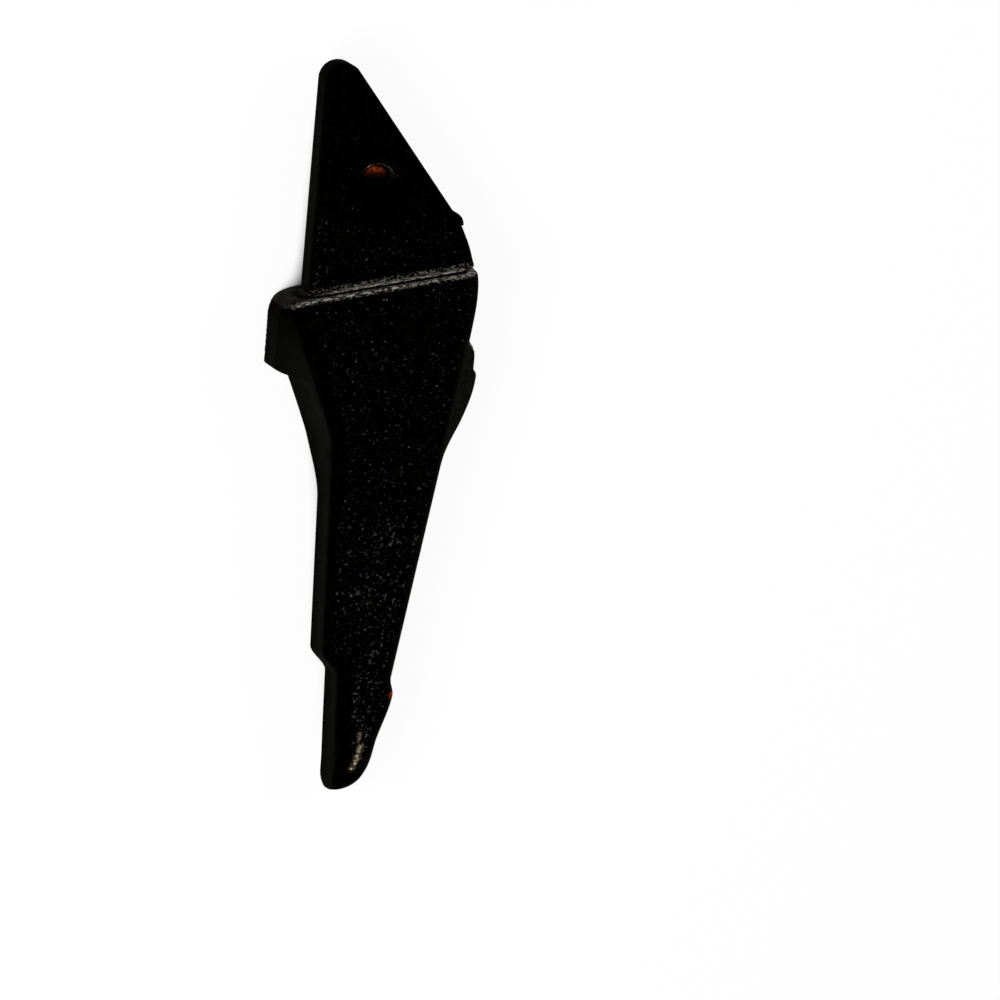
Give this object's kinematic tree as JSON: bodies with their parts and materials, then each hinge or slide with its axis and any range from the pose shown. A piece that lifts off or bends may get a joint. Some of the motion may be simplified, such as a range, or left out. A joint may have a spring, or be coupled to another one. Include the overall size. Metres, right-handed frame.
{
  "type": "excavator bucket tooth",
  "caption": "Asymmetric black bucket tooth: a knife-like slip-on point with a stepped blade, on an adapter with a bolt-on lug, held by a quarter-turn cross pin.",
  "frame": {"origin": "centre of the lug's bore, on the tooth's mid-plane", "axes": "+X across the tooth towards the pin's mouth, +Y towards the tip of the lug, +Z out of the front face"},
  "size_m": [0.0758, 0.2675, 0.0339],
  "materials": {
    "adapter": "black paint on cast steel, worn to rust above the bore",
    "tooth_point": "rough black paint on sand-cast steel, worn bright at the tip",
    "lock_pin": "phosphated steel",
    "thrust_washer": "plain steel",
    "pin_cushion": "amber polyurethane",
    "left_seal_ring": "black nitrile rubber",
    "right_seal_ring": "black nitrile rubber",
    "socket_plug": "black rubber"
  },
  "bodies": {
    "tooth": {"adapter": "adapter", "tooth_point": "tooth_point", "thrust_washer": "thrust_washer", "pin_cushion": "pin_cushion"},
    "lock": {"lock_pin": "lock_pin", "left_seal_ring": "left_seal_ring", "right_seal_ring": "right_seal_ring"},
    "plug": {"socket_plug": "socket_plug"}
  },
  "joints": [
    {"name": "lock_turn", "type": "hinge", "parent": "tooth", "child": "lock", "pos_m": [0.0285, -0.0565, 0], "axis": [1, 0, 0], "range_deg": [0, 90]},
    {"name": "plug_pull", "type": "slide", "parent": "tooth", "child": "plug", "axis": [1, 0, 0], "range_m": [0, 0.012]}
  ]
}
